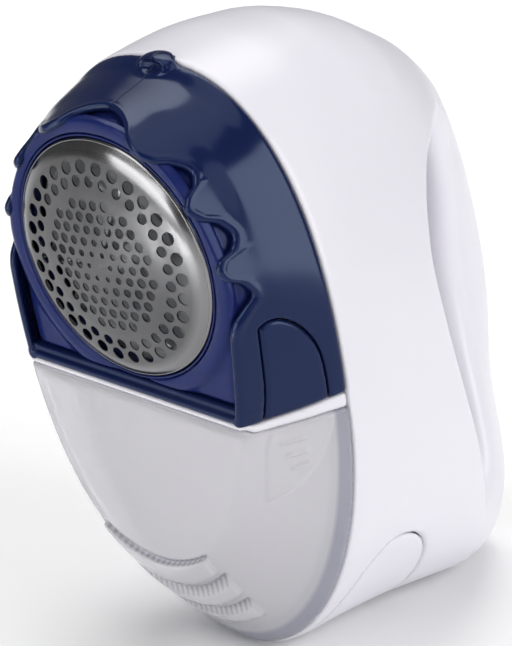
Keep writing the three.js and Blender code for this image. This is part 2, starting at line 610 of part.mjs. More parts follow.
function wire(points, r = 0.8) {
  const path = new THREE.CatmullRomCurve3(points.map((p) => new THREE.Vector3(...p)));
  const shape = new THREE.Shape();
  shape.absarc(0, 0, r, 0, 2 * Math.PI, false);
  return toSolid(new THREE.ExtrudeGeometry(shape, {
    steps: 22, curveSegments: 3, bevelEnabled: false, extrudePath: path,
  }));
}
add('wire_red', wire([[5, 51, 3], [5, 53, 12], [5, 62, 18], [5, 74, 17], [4, 83, 9], [3, 88, 2]]), 'red_wire');
add('wire_black', wire([[-5, 51, 3], [-13, 53, 4], [-17, 53.5, -14], [-18, 49, -28], [-17, 43, -34]]), 'black_wire');

export default root;
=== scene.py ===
"""Fabric shaver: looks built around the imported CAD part."""
import math
import bpy
import numpy as np
from mathutils import Matrix, Vector
from mathutils.geometry import delaunay_2d_cdt


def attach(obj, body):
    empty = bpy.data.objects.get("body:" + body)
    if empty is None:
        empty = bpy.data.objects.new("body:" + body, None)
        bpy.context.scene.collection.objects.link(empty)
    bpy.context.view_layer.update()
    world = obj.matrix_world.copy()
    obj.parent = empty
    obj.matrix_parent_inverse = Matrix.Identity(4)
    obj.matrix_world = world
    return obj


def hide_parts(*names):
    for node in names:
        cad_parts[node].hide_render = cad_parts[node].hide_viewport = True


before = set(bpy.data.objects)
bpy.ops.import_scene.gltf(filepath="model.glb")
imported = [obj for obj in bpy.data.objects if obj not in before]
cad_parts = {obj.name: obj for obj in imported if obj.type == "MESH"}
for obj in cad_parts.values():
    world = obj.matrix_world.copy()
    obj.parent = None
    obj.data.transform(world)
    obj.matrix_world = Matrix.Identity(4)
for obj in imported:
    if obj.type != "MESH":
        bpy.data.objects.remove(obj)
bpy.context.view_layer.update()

# ---------------------------------------------------------------- measures
# Shapes are drawn in mm in the head frame: origin at the foil's centre, x right, y back from the foil
# (called depth here), z up along it. The head frame leans forward by TILT in the upright frame.
MM = 0.001
TILT = math.radians(10)
COS, SIN = math.cos(TILT), math.sin(TILT)
FOIL_Y, FOIL_Z = -57.8, 101.0                     # foil centre in the upright frame
WALL, SKIN, GAP = 2.2, 1.9, 0.3                   # housing wall, guard and container wall, running gap
PARTING_Y = 21.3                                  # front edge of the white housing
FRONT_BACK_Y = 20.95                              # back edge of the guard and the container
CONTAINER_TOP = -34.5
LIP_RISE = 1.35                                   # rise of the shelf's underside at its front lip
SIDE_X = 24                                       # side details lie outside this distance from the middle
DUCT_X, DUCT_Y, DUCT_DEPTH = 10.3, 13.5, 5.8      # lint duct: half width, centre, half depth
PANEL_TOP, PANEL_FOOT, PANEL_R = -31.0, -102.0, 7.6   # rear panel: heights of its end arcs, their radius
PANEL_Y = 95                                      # the panel's seam is cut this far in
HANDLE_BACK_Y = 106.2
SCREWS = (-45.0, -99.0)                           # heights of the panel's two screws
BOSS_Y, BOSS_R = 93.5, 4.4                        # boss behind each screw, recess round its head, its hole
RECESS_Y, RECESS_R, SCREW_R = 97, 3.2, 1.9
SWITCH_AT, SWITCH_LEAN = (103.2, -14.0), 0.1264   # switch button: (depth, height) and lean
SEAM_FOOT = 128                                   # height above the base where the guard's seam starts
FINE = 0.4                 # grid steps
COARSE = 0.75

# depth, half width, top, bottom, widest height, exponent above, exponent below
STATIONS = np.array([
    (-1.5, 33.2, 32.5, -75.5, -6, 1.92, 2.15),
    (5, 35.8, 33.4, -86, -14, 2.14, 2.05),
    (10, 37.9, 34.2, -92.5, -21, 2.37, 2.02),
    (16, 40.2, 35.3, -99.8, -30, 2.48, 2.0),
    (21.3, 42.2, 37.4, -107.2, -38, 2.43, 1.97),
    (36, 43, 37.8, -110.2, -38, 2.35, 1.9),
    (52, 42.5, 36, -112.6, -40, 2.2, 1.95),
    (66, 40.2, 31, -115, -44, 2.15, 2.15),
    (80, 35, 22, -117.3, -50.5, 2.1, 2.5),
    (92, 25.5, 12.2, -118.6, -56, 2.0, 2.7),
    (101, 17, -1.5, -117, -64, 2.0, 2.8),
    (106.3, 10, -40, -107, -75, 2.0, 2.6),
])
# how much narrower the handle is beside the finger hole and below it: depth, share, share
WAIST = np.array([(57, 0.3, 0), (80, 0.42, 0), (92, 0.36, 0.07), (101, 0.1, 0.19), (106.3, 0.05, 0.19)])
WAIST_Z, WAIST_SPAN = -40, 32
LOW_WAIST_Z, LOW_WAIST_SPAN = -74, 20
WAIST_TOP_Z, WAIST_FADE = 7, 16
# side-view line (depth, height) behind which the full-width body gives way to the handle
CREASE = [(84, -116), (75.7, -93.6), (66.1, -66.1), (60.6, -50.3), (57.2, -37.3), (55.7, -27.9), (55, -20.1),
          (55.3, -13.5), (56.8, -8.2), (58.3, -4.6), (60.8, -1.1), (63.8, 1.8), (67.1, 3.6), (71.8, 4.6),
          (77.5, 5), (85.7, 3.4), (96, 0)]
AROUND_FRONT = [(120, 60), (-60, 60), (-60, -150), (84, -150)]   # closes that line round the front
# finger hole in the side view: (depth, height) down its front and up its back
HOLE_FRONT = [(73.4, 5), (63.7, 2.3), (59.6, -1.4), (57.6, -6.3), (56.7, -15.3), (56.9, -26), (58.4, -37.3),
              (61.4, -50.3), (66.2, -66.1), (71, -80)]
HOLE_BACK = [(77, -84), (80.5, -78), (83, -64), (84.5, -48), (85, -32), (84.5, -18), (82.5, -5), (78, 5),
             (73.5, 9.5)]
# guard's scalloped front edge: angle from the top in degrees, depth
GUARD_EDGE = np.array([
    (-6, 3.7), (0, 4.6), (6, 3.7), (13, 1.4), (19, -1.5), (25, -2.5), (31, -1.4), (37, 2.0), (43.5, 4.0),
    (48, 2.7), (51, -0.3), (55, -1.7), (60, -0.4), (65.5, 3.4), (71.3, 4.9), (75.5, 3.6), (78.2, -0.1),
    (81.5, -1.1), (85.3, -0.2), (89, 3.2), (94, 4.9), (98, 2.6), (102.5, 0), (108, -1.2), (114, -1.4),
    (190, -1.4)])
# side views (depth, height) of the guard's button and of the container's grip pad
BUTTON = [(4.4, -40), (4.4, -25), (4.35, -11.3), (4.9, -9.8), (6.8, -9.1), (9.4, -9.6), (12.8, -12.3),
          (15.6, -17), (16.8, -22.6), (17, -31), (17, -40)]
PAD = [(4.8, -34), (4.5, -50.9), (5.2, -52.9), (9.8, -51), (13, -46.3), (16, -39.8), (16.3, -34)]
PAD_BARS = ((-38, 6, 11), (-41.5, 7.2, 11.4), (-45, 8.4, 11.6))   # height, front, back
# container's grip ledges: front, back, half width; the first one starts in front of the face and
# is cut off above by a brow curving up from BROW_Z
LEDGES = ((-9, 1.1, 15.5), (3.7, 7.0, 16.5), (10.0, 13.3, 16.0))
LEDGE_TOP = -66
TEETH_PITCH = 1.6
BROW_Z, BROW_BEND = -74.2, 0.022


# ---------------------------------------------------------------- fields
def cubic(table, x, column):
    """Smooth value of a station column at x, never past its stations."""
    xs, ys = table[:, 0], table[:, column]
    h = np.diff(xs)
    s = np.diff(ys) / h
    m = np.zeros(len(xs))
    m[0], m[-1] = s[0], s[-1]
    for i in range(1, len(xs) - 1):
        if s[i - 1] * s[i] > 0:
            w1, w2 = 2 * h[i] + h[i - 1], h[i] + 2 * h[i - 1]
            m[i] = (w1 + w2) / (w1 / s[i - 1] + w2 / s[i])
    x = np.clip(x, xs[0] - 4, xs[-1])
    i = np.clip(np.searchsorted(xs, x) - 1, 0, len(h) - 1)
    t = (x - xs[i]) / h[i]
    t2, t3 = t * t, t * t * t
    inside = ((2 * t3 - 3 * t2 + 1) * ys[i] + (t3 - 2 * t2 + t) * h[i] * m[i]
              + (3 * t2 - 2 * t3) * ys[i + 1] + (t3 - t2) * h[i] * m[i + 1])
    return np.where(x < xs[0], ys[0] + (x - xs[0]) * s[0], inside)


def smoothstep(t):
    return t * t * (3 - 2 * t)


class Grid:
    """Regular grid in the head frame, on which the signed fields are worked out."""

    def __init__(self, low, high, step):
        self.low = np.array(low, float)
        self.step = step
        self.n = np.ceil((np.array(high) - self.low) / step).astype(int) + 1
        ax = [self.low[k] + step * np.arange(self.n[k]) for k in range(3)]
        self.x = ax[0][:, None, None].astype(np.float32)
        self.y = ax[1][None, :, None].astype(np.float32)
        self.z = ax[2][None, None, :].astype(np.float32)

    def egg(self, inset=0.0, core=False):
        """Distance to the body's egg-shaped loft, negative inside; core is the narrower handle."""
        y = self.y.ravel().astype(float)
        w, top, bottom, mid, nt, nb = [cubic(STATIONS, y, k)[None, :, None].astype(np.float32)
                                       for k in range(1, 7)]
        up = self.z >= mid
        h = np.where(up, top - mid, mid - bottom)
        n = np.where(up, nt, nb)
        if core:
            a, b = [np.interp(y, WAIST[:, 0], WAIST[:, k])[None, :, None].astype(np.float32) for k in (1, 2)]
            a = a * smoothstep(np.clip((WAIST_TOP_Z - self.z) / WAIST_FADE, 0, 1))
            w = w * (1 - a * np.exp(-((self.z - WAIST_Z) / WAIST_SPAN) ** 2)
                     - b * np.exp(-((self.z - LOW_WAIST_Z) / LOW_WAIST_SPAN) ** 2))
        u = np.abs(self.x) / w
        v = np.abs(self.z - mid) / h
        g = (u ** n + v ** n + 1e-9) ** (1 / n) - 1
        gx, gy, gz = np.gradient(g, self.step)
        return (g / np.sqrt(gx * gx + gy * gy + gz * gz + 1e-12) + inset).astype(np.float32)

    def prism_x(self, outline):
        """Signed distance to a side-view outline of (y, z) points."""
        py, pz = np.meshgrid(self.y.ravel(), self.z.ravel(), indexing="ij")
        return polygon_distance(py, pz, outline)[None].astype(np.float32)

    def up(self):
        """Height above the base plane and depth in the upright frame."""
        return FOIL_Z + self.y * SIN + self.z * COS, FOIL_Y + self.y * COS - self.z * SIN

    def switch(self):
        """Outward and upward distances from the switch button's middle, along its lean."""
        c, s = math.cos(SWITCH_LEAN), math.sin(SWITCH_LEAN)
        out = (self.y - SWITCH_AT[0]) * c + (self.z - SWITCH_AT[1]) * s
        return out, -(self.y - SWITCH_AT[0]) * s + (self.z - SWITCH_AT[1]) * c

    def ellipsoid(self, y, z, radii):
        """Field of an ellipsoid centred on the middle plane, true along its height."""
        rx, ry, rz = radii
        return (np.sqrt((self.x / rx) ** 2 + ((self.y - y) / ry) ** 2 + ((self.z - z) / rz) ** 2) - 1) * rz

    def duct(self):
        """Distance to the lint duct's endless prism."""
        return np.maximum(np.abs(self.x) - DUCT_X, np.abs(self.y - DUCT_Y) - DUCT_DEPTH)

    def lip(self):
        """Share of the rolled front lip of shelf and container: 1 in front, 0 behind."""
        return smoothstep(np.clip((2.2 - self.y) / 2.4, 0, 1))

    def shelf_rise(self):
        """How far the shelf and the parts on it have risen at each depth."""
        return 1.45 * np.clip((self.y + 1) / 22, 0, 1)


def polygon_distance(px, py, outline):
    """Signed distance in a plane to a closed outline, negative inside."""
    pts = np.array(outline, float)
    best = np.full(px.shape, 1e9)
    inside = np.zeros(px.shape, bool)
    for a, b in zip(pts, np.roll(pts, -1, axis=0)):
        e = b - a
        wx, wy = px - a[0], py - a[1]
        t = np.clip((wx * e[0] + wy * e[1]) / (e @ e + 1e-12), 0, 1)
        best = np.minimum(best, (wx - e[0] * t) ** 2 + (wy - e[1] * t) ** 2)
        cond = (a[1] > py) != (b[1] > py)
        xs = a[0] + (py - a[1]) * e[0] / (e[1] if abs(e[1]) > 1e-12 else 1e-12)
        inside ^= cond & (px < xs)
    return np.where(inside, -1, 1) * np.sqrt(best)


def smooth_curve(points, per=6):
    """Closed outline through the points, rounded by a Catmull-Rom curve."""
    p = np.array(points, float)
    out = []
    n = len(p)
    for i in range(n):
        a, b, c, d = p[i - 1], p[i], p[(i + 1) % n], p[(i + 2) % n]
        for t in np.arange(per) / per:
            out.append(0.5 * (2 * b + (c - a) * t + (2 * a - 5 * b + 4 * c - d) * t * t
                              + (3 * b - a - 3 * c + d) * t ** 3))
    return out


def smax(a, b, k):
    """Larger of two fields, rounded over k."""
    h = np.maximum(k - np.abs(a - b), 0) / k
    return np.maximum(a, b) + h * h * k * 0.25


def smin(a, b, k):
    return -smax(-a, -b, k)


BUTTON_EDGE = smooth_curve(BUTTON, 4)


# ---------------------------------------------------------------- meshing
def head_to_row(v):
    """Points in mm of the head frame to metres of the upright frame."""
    x, y, z = v[:, 0], v[:, 1], v[:, 2]
    return np.stack([x, FOIL_Y + y * COS - z * SIN, FOIL_Z + y * SIN + z * COS], 1) * MM


def head_dir(v):
    """Directions of the head frame in the upright frame."""
    x, y, z = v[:, 0], v[:, 1], v[:, 2]
    return np.stack([x, y * COS - z * SIN, y * SIN + z * COS], 1)


def make_mesh(name, verts_head, faces, normals_head=None):
    """Smooth mesh object from head-frame points; faces are an array or a list of index tuples."""
    me = bpy.data.meshes.new(name)
    v = head_to_row(np.asarray(verts_head, float)).astype(np.float32)
    me.vertices.add(len(v))
    me.vertices.foreach_set("co", v.ravel())
    if isinstance(faces, np.ndarray):
        k = faces.shape[1]
        loops = faces.ravel().astype(np.int32)
        starts = np.arange(0, len(loops), k, dtype=np.int32)
        totals = np.full(len(faces), k, np.int32)
    else:
        loops = np.array([i for f in faces for i in f], np.int32)
        totals = np.array([len(f) for f in faces], np.int32)
        starts = np.concatenate([[0], np.cumsum(totals)[:-1]]).astype(np.int32)
    me.loops.add(len(loops))
    me.loops.foreach_set("vertex_index", loops)
    me.polygons.add(len(starts))
    me.polygons.foreach_set("loop_start", starts)
    me.polygons.foreach_set("loop_total", totals)
    me.polygons.foreach_set("use_smooth", np.ones(len(starts), bool))
    me.update(calc_edges=True)
    me.validate()
    if normals_head is not None:
        n = head_dir(normals_head)
        me.normals_split_custom_set_from_vertices(n.astype(np.float32).tolist())
    ob = bpy.data.objects.new(name, me)
    bpy.context.scene.collection.objects.link(ob)
    return ob


def about_head_axis(ob):
    """Gives the object its own frame: Z out of the foil, Y up along it."""
    m = Matrix(((1, 0, 0, 0), (0, -SIN, -COS, FOIL_Y * MM), (0, COS, -SIN, FOIL_Z * MM), (0, 0, 0, 1)))
    ob.data.transform(m.inverted())
    ob.matrix_world = m
    return ob


def sample(field, p):
    """Trilinear values of a field (or stack of fields) at grid coordinates p."""
    i = np.clip(np.floor(p).astype(int), 0, np.array(field.shape[:3]) - 2)
    f = p - i
    out = 0
    for dx in (0, 1):
        for dy in (0, 1):
            for dz in (0, 1):
                w = ((f[:, 0] if dx else 1 - f[:, 0]) * (f[:, 1] if dy else 1 - f[:, 1])
                     * (f[:, 2] if dz else 1 - f[:, 2]))
                val = field[i[:, 0] + dx, i[:, 1] + dy, i[:, 2] + dz]
                out = out + (w[:, None] * val if val.ndim > 1 else w * val)
    return out


def surface(name, grid, d):
    """Closed quad mesh of the zero level of d, its vertices pulled onto it, shaded by its gradient."""
    d = np.broadcast_to(d, tuple(grid.n)).astype(np.float32).copy()
    for k in range(3):
        edge = [slice(None)] * 3
        for side in (0, -1):
            edge[k] = side
            d[tuple(edge)] = np.maximum(d[tuple(edge)], 0.05)
    s = d < 0
    corners = [(a, b, c) for a in (0, 1) for b in (0, 1) for c in (0, 1)]
    count = np.zeros([n - 1 for n in s.shape], np.int8)
    for o in corners:
        count += s[tuple(slice(o[k], s.shape[k] - 1 + o[k]) for k in range(3))]
    cells = np.argwhere((count > 0) & (count < 8))
    index = np.full(count.shape, -1, np.int64)
    index[tuple(cells.T)] = np.arange(len(cells))
    value = {o: d[cells[:, 0] + o[0], cells[:, 1] + o[1], cells[:, 2] + o[2]] for o in corners}
    total = np.zeros((len(cells), 3))
    hits = np.zeros(len(cells))
    for o in corners:
        for k in range(3):
            if o[k] == 0:
                q = list(o)
                q[k] = 1
                va, vb = value[o], value[tuple(q)]
                cross = (va < 0) != (vb < 0)
                t = np.where(cross, va / np.where(cross, va - vb, 1), 0)
                at = np.array(o, float)[None] + t[:, None] * np.eye(3)[k][None]
                total += at * cross[:, None]
                hits += cross
    p = cells + total / hits[:, None]
    grad = np.stack(np.gradient(d), -1)
    for _ in range(3):
        val, g = sample(d, p), sample(grad, p)
        move = -(val / (np.sum(g * g, 1) + 1e-6))[:, None] * g
        size = np.linalg.norm(move, axis=1)
        p = p + move * np.minimum(1, 0.35 / (size + 1e-9))[:, None]
    p = np.clip(p, cells - 0.25, cells + 1.25)
    normal = sample(grad, p)
    normal /= np.linalg.norm(normal, axis=1)[:, None] + 1e-9
    faces = []
    for k in range(3):
        a, b = [m for m in range(3) if m != k]
        lo = [slice(None)] * 3
        hi = [slice(None)] * 3
        lo[k], hi[k] = slice(0, -1), slice(1, None)
        change = s[tuple(lo)] != s[tuple(hi)]
        e = np.argwhere(change)
        e = e[(e[:, a] > 0) & (e[:, b] > 0) & (e[:, a] < s.shape[a] - 1) & (e[:, b] < s.shape[b] - 1)]
        quad = []
        for da, db in ((-1, -1), (0, -1), (0, 0), (-1, 0)):
            c = e.copy()
            c[:, a] += da
            c[:, b] += db
            quad.append(index[tuple(c.T)])
        q = np.stack(quad, 1)
        inside = s[tuple(e.T)]
        flip = inside if k != 1 else ~inside
        q[~flip] = q[~flip][:, ::-1]
        faces.append(q[(q >= 0).all(1)])
    faces = np.concatenate(faces)
    verts = grid.low + p * grid.step
    return make_mesh(name, verts, faces, normal)


def lathe(name, profile, segments=220):
    """Solid of revolution about the foil's axis from a closed profile of (radius, depth) points."""
    prof = np.array(profile, float)
    m = len(prof)
    ang = np.linspace(0, 2 * np.pi, segments, endpoint=False)
    verts = np.stack([prof[None, :, 0] * np.sin(ang)[:, None],
                      np.broadcast_to(prof[None, :, 1], (segments, m)),
                      prof[None, :, 0] * np.cos(ang)[:, None]], -1).reshape(-1, 3)
    faces = []
    for i in range(segments):
        j = (i + 1) % segments
        for k in range(m):
            after = (k + 1) % m
            faces.append((i * m + k, i * m + after, j * m + after, j * m + k))
    return make_mesh(name, verts, np.array(faces))


def round_path(points, radius):
    """Closed 2-D outline with its corners rounded."""
    p = np.array(points, float)
    n = len(p)
    out = []
    for i in range(n):
        a, b, c = p[i - 1], p[i], p[(i + 1) % n]
        u, v = a - b, c - b
        lu, lv = np.linalg.norm(u), np.linalg.norm(v)
        r = min(radius, lu * 0.45, lv * 0.45)
        s, e = b + u / lu * r, b + v / lv * r
        for t in np.linspace(0, 1, 5):
            out.append((1 - t) ** 2 * s + 2 * t * (1 - t) * b + t * t * e)
    return out


# ---------------------------------------------------------------- materials
FAINT = 0.000004                                  # bump depth of a nearly smooth surface, metres


def node_material(name):
    """New material with its node tree, its shader and the object coordinates (metres)."""
    mat = bpy.data.materials.new(name)
    mat.use_nodes = True
    nt = mat.node_tree
    bsdf = nt.nodes["Principled BSDF"]
    coord = nt.nodes.new("ShaderNodeTexCoord")
    return mat, nt, bsdf, coord.outputs["Object"]


def add_noise(nt, coord, scale, detail=3.0, rough=0.5, stretch=None):
    src = coord
    if stretch:
        m = nt.nodes.new("ShaderNodeMapping")
        m.inputs["Scale"].default_value = stretch
        nt.links.new(coord, m.inputs["Vector"])
        src = m.outputs["Vector"]
    n = nt.nodes.new("ShaderNodeTexNoise")
    n.inputs["Scale"].default_value = scale
    n.inputs["Detail"].default_value = detail
    n.inputs["Roughness"].default_value = rough
    nt.links.new(src, n.inputs["Vector"])
    return n.outputs["Fac"]


def remap(nt, value, lo, hi, a, b):
    m = nt.nodes.new("ShaderNodeMapRange")
    m.inputs["From Min"].default_value = lo
    m.inputs["From Max"].default_value = hi
    m.inputs["To Min"].default_value = a
    m.inputs["To Max"].default_value = b
    nt.links.new(value, m.inputs["Value"])
    return m.outputs["Result"]


def mix_color(nt, fac, a, b):
    """Mix of two colours, given as values or as another node's output."""
    m = nt.nodes.new("ShaderNodeMix")
    m.data_type = "RGBA"
    for socket, value in (("A", a), ("B", b)):
        if isinstance(value, tuple):
            m.inputs[socket].default_value = (*value, 1)
        else:
            nt.links.new(value, m.inputs[socket])
    nt.links.new(fac, m.inputs["Factor"])
    return m.outputs["Result"]


def maths(nt, op, a, b=None):
    """One math node; each operand is a number or another node's output."""
    m = nt.nodes.new("ShaderNodeMath")
    m.operation = op
    for k, v in enumerate((a, b)):
        if v is None:
            continue
        if isinstance(v, (int, float)):
            m.inputs[k].default_value = v
        else:
            nt.links.new(v, m.inputs[k])
    return m.outputs[0]


def finish_material(nt, bsdf, heights, distance):
    """Adds (height, weight) pairs into one bump."""
    total = None
    for h, w in heights:
        part = maths(nt, "MULTIPLY", h, w)
        total = part if total is None else maths(nt, "ADD", total, part)
    bump = nt.nodes.new("ShaderNodeBump")
    bump.inputs["Strength"].default_value = 1.0
    bump.inputs["Distance"].default_value = distance
    nt.links.new(total, bump.inputs["Height"])
    nt.links.new(bump.outputs["Normal"], bsdf.inputs["Normal"])


def plastic(name, color, tint, rough, coat=0.0, spec=0.5, grain=900.0, bump=0.00001, seam=False,
            scuff=0.06, sheen=(1, 1, 1)):
    """Moulded plastic: two close tones, a fine grain and broad scuffs; seam adds a line down the middle
    of its top, and sheen tints its reflections."""
    mat, nt, bsdf, obj = node_material(name)
    broad = add_noise(nt, obj, 38.0, 2.0)
    fine = add_noise(nt, obj, grain, 4.0, 0.6)
    marks = add_noise(nt, obj, 120.0, 2.0, 0.5, stretch=(1.0, 0.35, 1.0))
    nt.links.new(mix_color(nt, remap(nt, broad, 0.1, 0.9, 0, 1), color, tint), bsdf.inputs["Base Color"])
    scuffs = remap(nt, marks, 0.3, 0.8, 0.0, scuff)
    polish = remap(nt, broad, 0.1, 0.9, rough - 0.02, rough + 0.02)
    nt.links.new(maths(nt, "ADD", scuffs, polish), bsdf.inputs["Roughness"])
    bsdf.inputs["Coat Weight"].default_value = coat
    bsdf.inputs["Coat Roughness"].default_value = 0.04
    bsdf.inputs["IOR"].default_value = 1.5
    bsdf.inputs["Specular IOR Level"].default_value = spec
    bsdf.inputs["Specular Tint"].default_value = (*sheen, 1)
    heights = [(fine, 1.0), (broad, 2.0)]
    if seam:
        xyz = nt.nodes.new("ShaderNodeSeparateXYZ")
        nt.links.new(obj, xyz.inputs[0])
        near = remap(nt, maths(nt, "ABSOLUTE", xyz.outputs["X"]), 0.08 * MM, 0.3 * MM, 1, 0)
        high = maths(nt, "GREATER_THAN", xyz.outputs["Z"], SEAM_FOOT * MM)
        heights.append((maths(nt, "MULTIPLY", near, high), -16.0))
    finish_material(nt, bsdf, heights, bump)
    return mat


def metal(name, color, tint, rough, brush=None):
    """Metal in two close tones, with its grain drawn out along brush."""
    mat, nt, bsdf, obj = node_material(name)
    grainy = add_noise(nt, obj, 1500.0, 4.0, 0.6, stretch=brush)
    broad = add_noise(nt, obj, 60.0, 3.0)
    bsdf.inputs["Metallic"].default_value = 1.0
    nt.links.new(mix_color(nt, remap(nt, broad, 0.35, 0.7, 0, 1), color, tint), bsdf.inputs["Base Color"])
    nt.links.new(remap(nt, grainy, 0.3, 0.7, rough - 0.06, rough + 0.08), bsdf.inputs["Roughness"])
    finish_material(nt, bsdf, [(grainy, 1.0), (broad, 1.0)], FAINT)
    return mat


def foil_steel():
    """Spun sheet, lighter towards its rim as a painted highlight: fine turned rings, stretched highlights,
    faint smears.
    """
    mat, nt, bsdf, obj = node_material("foil_steel")
    xyz = nt.nodes.new("ShaderNodeSeparateXYZ")
    nt.links.new(obj, xyz.inputs[0])
    squares = [maths(nt, "MULTIPLY", xyz.outputs[k], xyz.outputs[k]) for k in ("X", "Y")]
    radius = maths(nt, "SQRT", maths(nt, "ADD", *squares))
    rings = nt.nodes.new("ShaderNodeTexNoise")
    rings.noise_dimensions = "1D"
    rings.inputs["Scale"].default_value = 2200.0
    rings.inputs["Detail"].default_value = 4.0
    nt.links.new(radius, rings.inputs["W"])
    broad = add_noise(nt, obj, 90.0, 3.0)
    smears = add_noise(nt, obj, 330.0, 5.0, 0.65)
    bsdf.inputs["Metallic"].default_value = 1.0
    sheet = mix_color(nt, remap(nt, broad, 0.35, 0.7, 0, 1), (0.158, 0.157, 0.16), (0.135, 0.135, 0.14))
    # painted highlight: from 23.5 mm out the sheet takes a lighter tone that stands in for the rim's highlight
    painted_rim_highlight = remap(nt, radius, 23.5 * MM, 25.5 * MM, 0, 1)
    nt.links.new(mix_color(nt, painted_rim_highlight, sheet, (0.28, 0.28, 0.285)), bsdf.inputs["Base Color"])
    rough = maths(nt, "ADD", remap(nt, smears, 0.4, 0.75, 0.0, 0.04),
                  remap(nt, rings.outputs["Fac"], 0.3, 0.7, 0.15, 0.19))
    nt.links.new(rough, bsdf.inputs["Roughness"])
    bsdf.inputs["Anisotropic"].default_value = 0.5
    bsdf.inputs["Anisotropic Rotation"].default_value = 0.25
    tangent = nt.nodes.new("ShaderNodeTangent")
    tangent.direction_type = "RADIAL"
    tangent.axis = "Z"
    nt.links.new(tangent.outputs["Tangent"], bsdf.inputs["Tangent"])
    finish_material(nt, bsdf, [(rings.outputs["Fac"], 1.0), (smears, 0.6)], FAINT)
    return mat


def clear_plastic():
    """Hazy clear plastic, darker along its rear edge, with painted shade in the groove along each ledge."""
    mat, nt, bsdf, obj = node_material("clear_plastic")
    fine = add_noise(nt, obj, 700.0, 3.0)
    broad = add_noise(nt, obj, 30.0, 2.0)
    xyz = nt.nodes.new("ShaderNodeSeparateXYZ")
    nt.links.new(obj, xyz.inputs[0])
    from_foil_y = maths(nt, "SUBTRACT", xyz.outputs["Y"], FOIL_Y * MM)
    from_foil_z = maths(nt, "SUBTRACT", xyz.outputs["Z"], FOIL_Z * MM)
    depth = maths(nt, "ADD", maths(nt, "MULTIPLY", from_foil_y, COS), maths(nt, "MULTIPLY", from_foil_z, SIN))
    height = maths(nt, "SUBTRACT", maths(nt, "MULTIPLY", from_foil_z, COS),
                   maths(nt, "MULTIPLY", from_foil_y, SIN))
    across = maths(nt, "ABSOLUTE", xyz.outputs["X"])
    wave = maths(nt, "SINE", maths(nt, "MULTIPLY", xyz.outputs["X"], 2 * math.pi / (TEETH_PITCH * MM)))
    ripple = maths(nt, "MULTIPLY", wave, 0.2 * MM)
    bend = maths(nt, "MULTIPLY", maths(nt, "MULTIPLY", across, across), BROW_BEND / MM)
    brow = maths(nt, "SUBTRACT", height, bend)
    # painted shade: a dark line in the groove along each ledge's edge, where its step casts shade
    painted_ledge_shade = None
    for front, _, half in LEDGES:
        on_brow = front < 0
        if on_brow:
            off = maths(nt, "ADD", maths(nt, "ADD", brow, ripple), (-BROW_Z - 0.5) * MM)
        else:
            off = maths(nt, "SUBTRACT", maths(nt, "ADD", depth, ripple), (front - 0.5) * MM)
        line = maths(nt, "MULTIPLY", remap(nt, maths(nt, "ABSOLUTE", off), 0.2 * MM, 0.7 * MM, 1, 0),
                     remap(nt, across, half * 0.95 * MM, half * MM, 1, 0))
        if on_brow:
            line = maths(nt, "MULTIPLY", line, remap(nt, depth, 1 * MM, 2 * MM, 1, 0))
        painted_ledge_shade = line if painted_ledge_shade is None else maths(nt, "MAXIMUM", painted_ledge_shade, line)
    painted_ledge_shade = maths(nt, "MULTIPLY", painted_ledge_shade, remap(nt, height, LEDGE_TOP * MM, (LEDGE_TOP + 2) * MM, 0.7, 0))
    plain = mix_color(nt, remap(nt, broad, 0.35, 0.65, 0, 1), (0.975, 0.965, 1.0), (0.965, 0.955, 0.99))
    # the painted ledge shade darkens the plain tone
    body = mix_color(nt, painted_ledge_shade, plain, (0.3, 0.3, 0.37))
    # darker and bluer from 17.4 mm depth back to the rear edge
    rim = remap(nt, depth, 17.4 * MM, 18.2 * MM, 0, 1)
    nt.links.new(mix_color(nt, rim, body, (0.62, 0.63, 0.72)), bsdf.inputs["Base Color"])
    nt.links.new(remap(nt, broad, 0.3, 0.7, 0.09, 0.13), bsdf.inputs["Roughness"])
    bsdf.inputs["Transmission Weight"].default_value = 0.6
    bsdf.inputs["IOR"].default_value = 1.42
    finish_material(nt, bsdf, [(fine, 0.02), (broad, 3.0)], 0.00001)
    return mat


# the white's roughness stays above 0.275: lower values leave faint outlines of its noise after denoising
WHITE = plastic("white_plastic", (0.80, 0.785, 0.845), (0.785, 0.77, 0.83), 0.3, grain=1200, bump=FAINT,
                scuff=0.0)
NAVY = plastic("navy_plastic", (0.006, 0.0125, 0.06), (0.0055, 0.0115, 0.055), 0.13, spec=0.36, grain=700,
               bump=0.000006, seam=True, scuff=0.05, sheen=(0.62, 0.76, 1.0))
ROYAL = plastic("royal_plastic", (0.0105, 0.018, 0.105), (0.0095, 0.016, 0.095), 0.2, spec=0.25, grain=800,
                scuff=0.05, sheen=(0.6, 0.72, 1.0))
GREY = plastic("grey_plastic", (0.42, 0.43, 0.45), (0.38, 0.39, 0.41), 0.42, grain=900, bump=0.00002)
PALE = plastic("pale_plastic", (0.72, 0.73, 0.75), (0.68, 0.69, 0.71), 0.4, grain=900, bump=0.00001)
BLADE = metal("blade_steel", (0.55, 0.56, 0.58), (0.47, 0.48, 0.5), 0.28, brush=(1, 1, 14))
STEEL = metal("screw_steel", (0.5, 0.5, 0.52), (0.42, 0.42, 0.44), 0.3)
BRASS = metal("contact_brass", (0.62, 0.44, 0.17), (0.55, 0.38, 0.14), 0.28)
CAN = metal("motor_can", (0.36, 0.37, 0.39), (0.31, 0.32, 0.34), 0.4, brush=(1, 12, 1))
CELL = plastic("cell_sleeve", (0.03, 0.033, 0.038), (0.024, 0.027, 0.031), 0.3, coat=0.3)
RED = plastic("red_insulation", (0.34, 0.012, 0.014), (0.29, 0.01, 0.012), 0.45)
BLACK = plastic("black_insulation", (0.012, 0.012, 0.013), (0.017, 0.017, 0.018), 0.45)
FOIL = foil_steel()
CLEAR = clear_plastic()


def place(ob, body, slot, material, *nodes):
    """Gives a piece its material and its body, and hides the CAD nodes it replaces; slot is not used."""
    ob.data.materials.clear()
    ob.data.materials.append(material)
    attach(ob, body)
    if nodes:
        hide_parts(*nodes)


